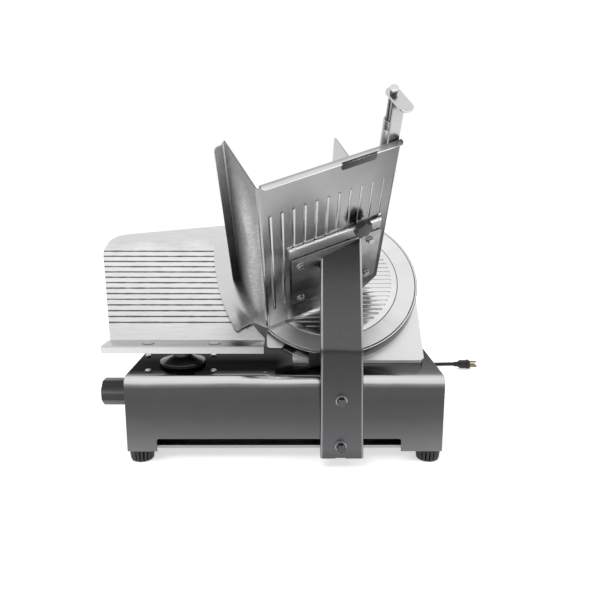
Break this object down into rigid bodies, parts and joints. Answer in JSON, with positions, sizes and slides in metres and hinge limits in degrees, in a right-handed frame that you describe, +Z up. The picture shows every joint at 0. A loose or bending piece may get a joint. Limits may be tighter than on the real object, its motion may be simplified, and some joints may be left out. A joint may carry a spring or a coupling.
{
  "type": "automatic meat slicer",
  "caption": "Automatic gravity-feed slicer: tilted round blade in a cast housing, ribbed thickness gauge, V-shaped tray on a motor-driven carriage, sheet steel base on rubber feet, mains cord.",
  "frame": {"origin": "on the table under the middle of the machine's outer box, leaving out the mains cord and its plug", "axes": "+X to the user's right along the carriage's travel, +Y away from the user towards the rear cover, +Z up"},
  "size_m": [0.7987, 0.8176, 0.5633],
  "materials": {
    "cast_aluminium": "polished casting",
    "polished_steel": "mirror polished stainless sheet",
    "brushed_steel": "brushed",
    "blade_steel": "ground and polished",
    "base_steel": "dark glossy",
    "arm_steel": "dark satin",
    "black_plastic": "glossy black",
    "foot_rubber": "matt",
    "belt_rubber": "matt",
    "motor_paint": "satin grey paint",
    "gear_iron": "machined",
    "green_plastic": "satin green",
    "red_plastic": "satin red",
    "white_plastic": "satin white",
    "cord_rubber": "satin black"
  },
  "bodies": {
    "base": {"base_shell": "base_steel", "bottom_plate": "brushed_steel", "foot_front_left": "foot_rubber", "foot_front_right": "foot_rubber", "foot_rear_left": "foot_rubber", "foot_rear_right": "foot_rubber", "housing_plate": "cast_aluminium", "motor_cover": "cast_aluminium", "blade_guard": "cast_aluminium", "blade_cover": "cast_aluminium", "cover_rod": "brushed_steel", "bearing_housing": "gear_iron", "blade_bearing": "brushed_steel", "blade_motor": "motor_paint", "blade_belt": "belt_rubber", "slide_rod": "brushed_steel", "end_bracket_left": "cast_aluminium", "end_bracket_right": "cast_aluminium", "guide_rail": "brushed_steel", "carriage_motor": "motor_paint", "carriage_belt": "belt_rubber", "gauge_guide": "cast_aluminium", "switch_box": "black_plastic", "ring_buffer": "black_plastic", "cable_gland": "black_plastic", "cord_lead": "cord_rubber", "cord_coil": "cord_rubber", "cord_tail": "cord_rubber", "cord_tie": "white_plastic", "plug": "black_plastic"},
    "carriage": {"carriage_block": "cast_aluminium", "arm_bracket": "brushed_steel", "arm": "arm_steel", "arm_bolt_upper": "brushed_steel", "arm_bolt_lower": "brushed_steel", "tray_bracket": "polished_steel", "trough": "polished_steel", "hand_guard": "cast_aluminium", "fence_rail": "polished_steel", "rod_strip": "polished_steel", "pusher_rod": "brushed_steel"},
    "roller": {"guide_roller": "black_plastic"},
    "drive_wheel": {"drive_pulley": "cast_aluminium"},
    "idler_wheel": {"idler_pulley": "cast_aluminium"},
    "blade_body": {"blade": "blade_steel", "spindle": "brushed_steel"},
    "motor_wheel": {"motor_pulley": "cast_aluminium"},
    "gauge": {"gauge_slide": "cast_aluminium", "gauge_carrier": "cast_aluminium", "gauge_bar": "polished_steel", "gauge_plate": "cast_aluminium"},
    "knob": {"thickness_knob": "black_plastic"},
    "screw": {"gauge_screw": "brushed_steel"},
    "fence_body": {"fence": "polished_steel"},
    "star": {"fence_knob": "black_plastic"},
    "pusher_carrier": {"pusher_collar": "brushed_steel"},
    "pusher_arm": {"pusher": "cast_aluminium", "pusher_handle": "black_plastic"},
    "start": {"start_button": "green_plastic"},
    "stop": {"stop_button": "red_plastic"}
  },
  "joints": [
    {"name": "carriage_slide", "type": "slide", "parent": "base", "child": "carriage", "axis": [1, 0, 0], "range_m": [-0.263, 0.069]},
    {"name": "roller_turn", "type": "hinge", "parent": "carriage", "child": "roller", "pos_m": [0.12485, 0.01294, 0.0675], "axis": [0, 1, 0], "range_deg": [-1680, 445]},
    {"name": "drive_turn", "type": "hinge", "parent": "base", "child": "drive_wheel", "pos_m": [0.24185, -0.02206, 0.1], "axis": [0, 1, 0], "range_deg": [-225, 842]},
    {"name": "idler_turn", "type": "hinge", "parent": "base", "child": "idler_wheel", "pos_m": [-0.16815, -0.02206, 0.1], "axis": [0, 1, 0], "range_deg": [-225, 842]},
    {"name": "blade_spin", "type": "hinge", "parent": "base", "child": "blade_body", "pos_m": [0.11685, 0.03024, 0.2751], "axis": [0, -0.7071, 0.7071], "continuous": true},
    {"name": "motor_spin", "type": "hinge", "parent": "base", "child": "motor_wheel", "pos_m": [0.18885, 0.04438, 0.28924], "axis": [0, -0.7071, 0.7071], "continuous": true},
    {"name": "gauge_feed", "type": "slide", "parent": "base", "child": "gauge", "axis": [0, 1, 0], "range_m": [0, 0.018]},
    {"name": "knob_turn", "type": "hinge", "parent": "base", "child": "knob", "pos_m": [-0.21615, -0.08906, 0.106], "axis": [1, 0, 0], "range_deg": [0, 301]},
    {"name": "screw_turn", "type": "hinge", "parent": "base", "child": "screw", "pos_m": [-0.13665, -0.08906, 0.106], "axis": [0, 1, 0], "range_deg": [0, 301]},
    {"name": "fence_slide", "type": "slide", "parent": "carriage", "child": "fence_body", "axis": [0.9063, 0.2988, 0.2988], "range_m": [-0.04, 0.012]},
    {"name": "fence_knob_turn", "type": "hinge", "parent": "fence_body", "child": "star", "pos_m": [0.14823, -0.13634, 0.38642], "axis": [0.4226, -0.6409, -0.6409], "range_deg": [0, 540]},
    {"name": "pusher_travel", "type": "slide", "parent": "carriage", "child": "pusher_carrier", "axis": [0, -0.7071, 0.7071], "range_m": [-0.054, 0.033]},
    {"name": "pusher_swing", "type": "hinge", "parent": "pusher_carrier", "child": "pusher_arm", "pos_m": [0.1757, 0.02242, 0.27152], "axis": [0, 0.7071, -0.7071], "range_deg": [0, 95]},
    {"name": "start_press", "type": "slide", "parent": "base", "child": "start", "axis": [-1, 0, 0], "range_m": [0, 0.0018], "stiffness_N_per_m": 250, "springref_m": -0.002},
    {"name": "stop_press", "type": "slide", "parent": "base", "child": "stop", "axis": [-1, 0, 0], "range_m": [0, 0.0018], "stiffness_N_per_m": 250, "springref_m": -0.002}
  ],
  "couplings": [
    {"joint": "roller_turn", "follows": "carriage_slide", "rad_per_m": 111.11},
    {"joint": "drive_turn", "follows": "carriage_slide", "rad_per_m": -55.556},
    {"joint": "idler_turn", "follows": "carriage_slide", "rad_per_m": -55.556},
    {"joint": "motor_spin", "follows": "blade_spin", "ratio": 2},
    {"joint": "knob_turn", "follows": "gauge_feed", "rad_per_m": 290.89},
    {"joint": "screw_turn", "follows": "gauge_feed", "rad_per_m": 290.89}
  ]
}
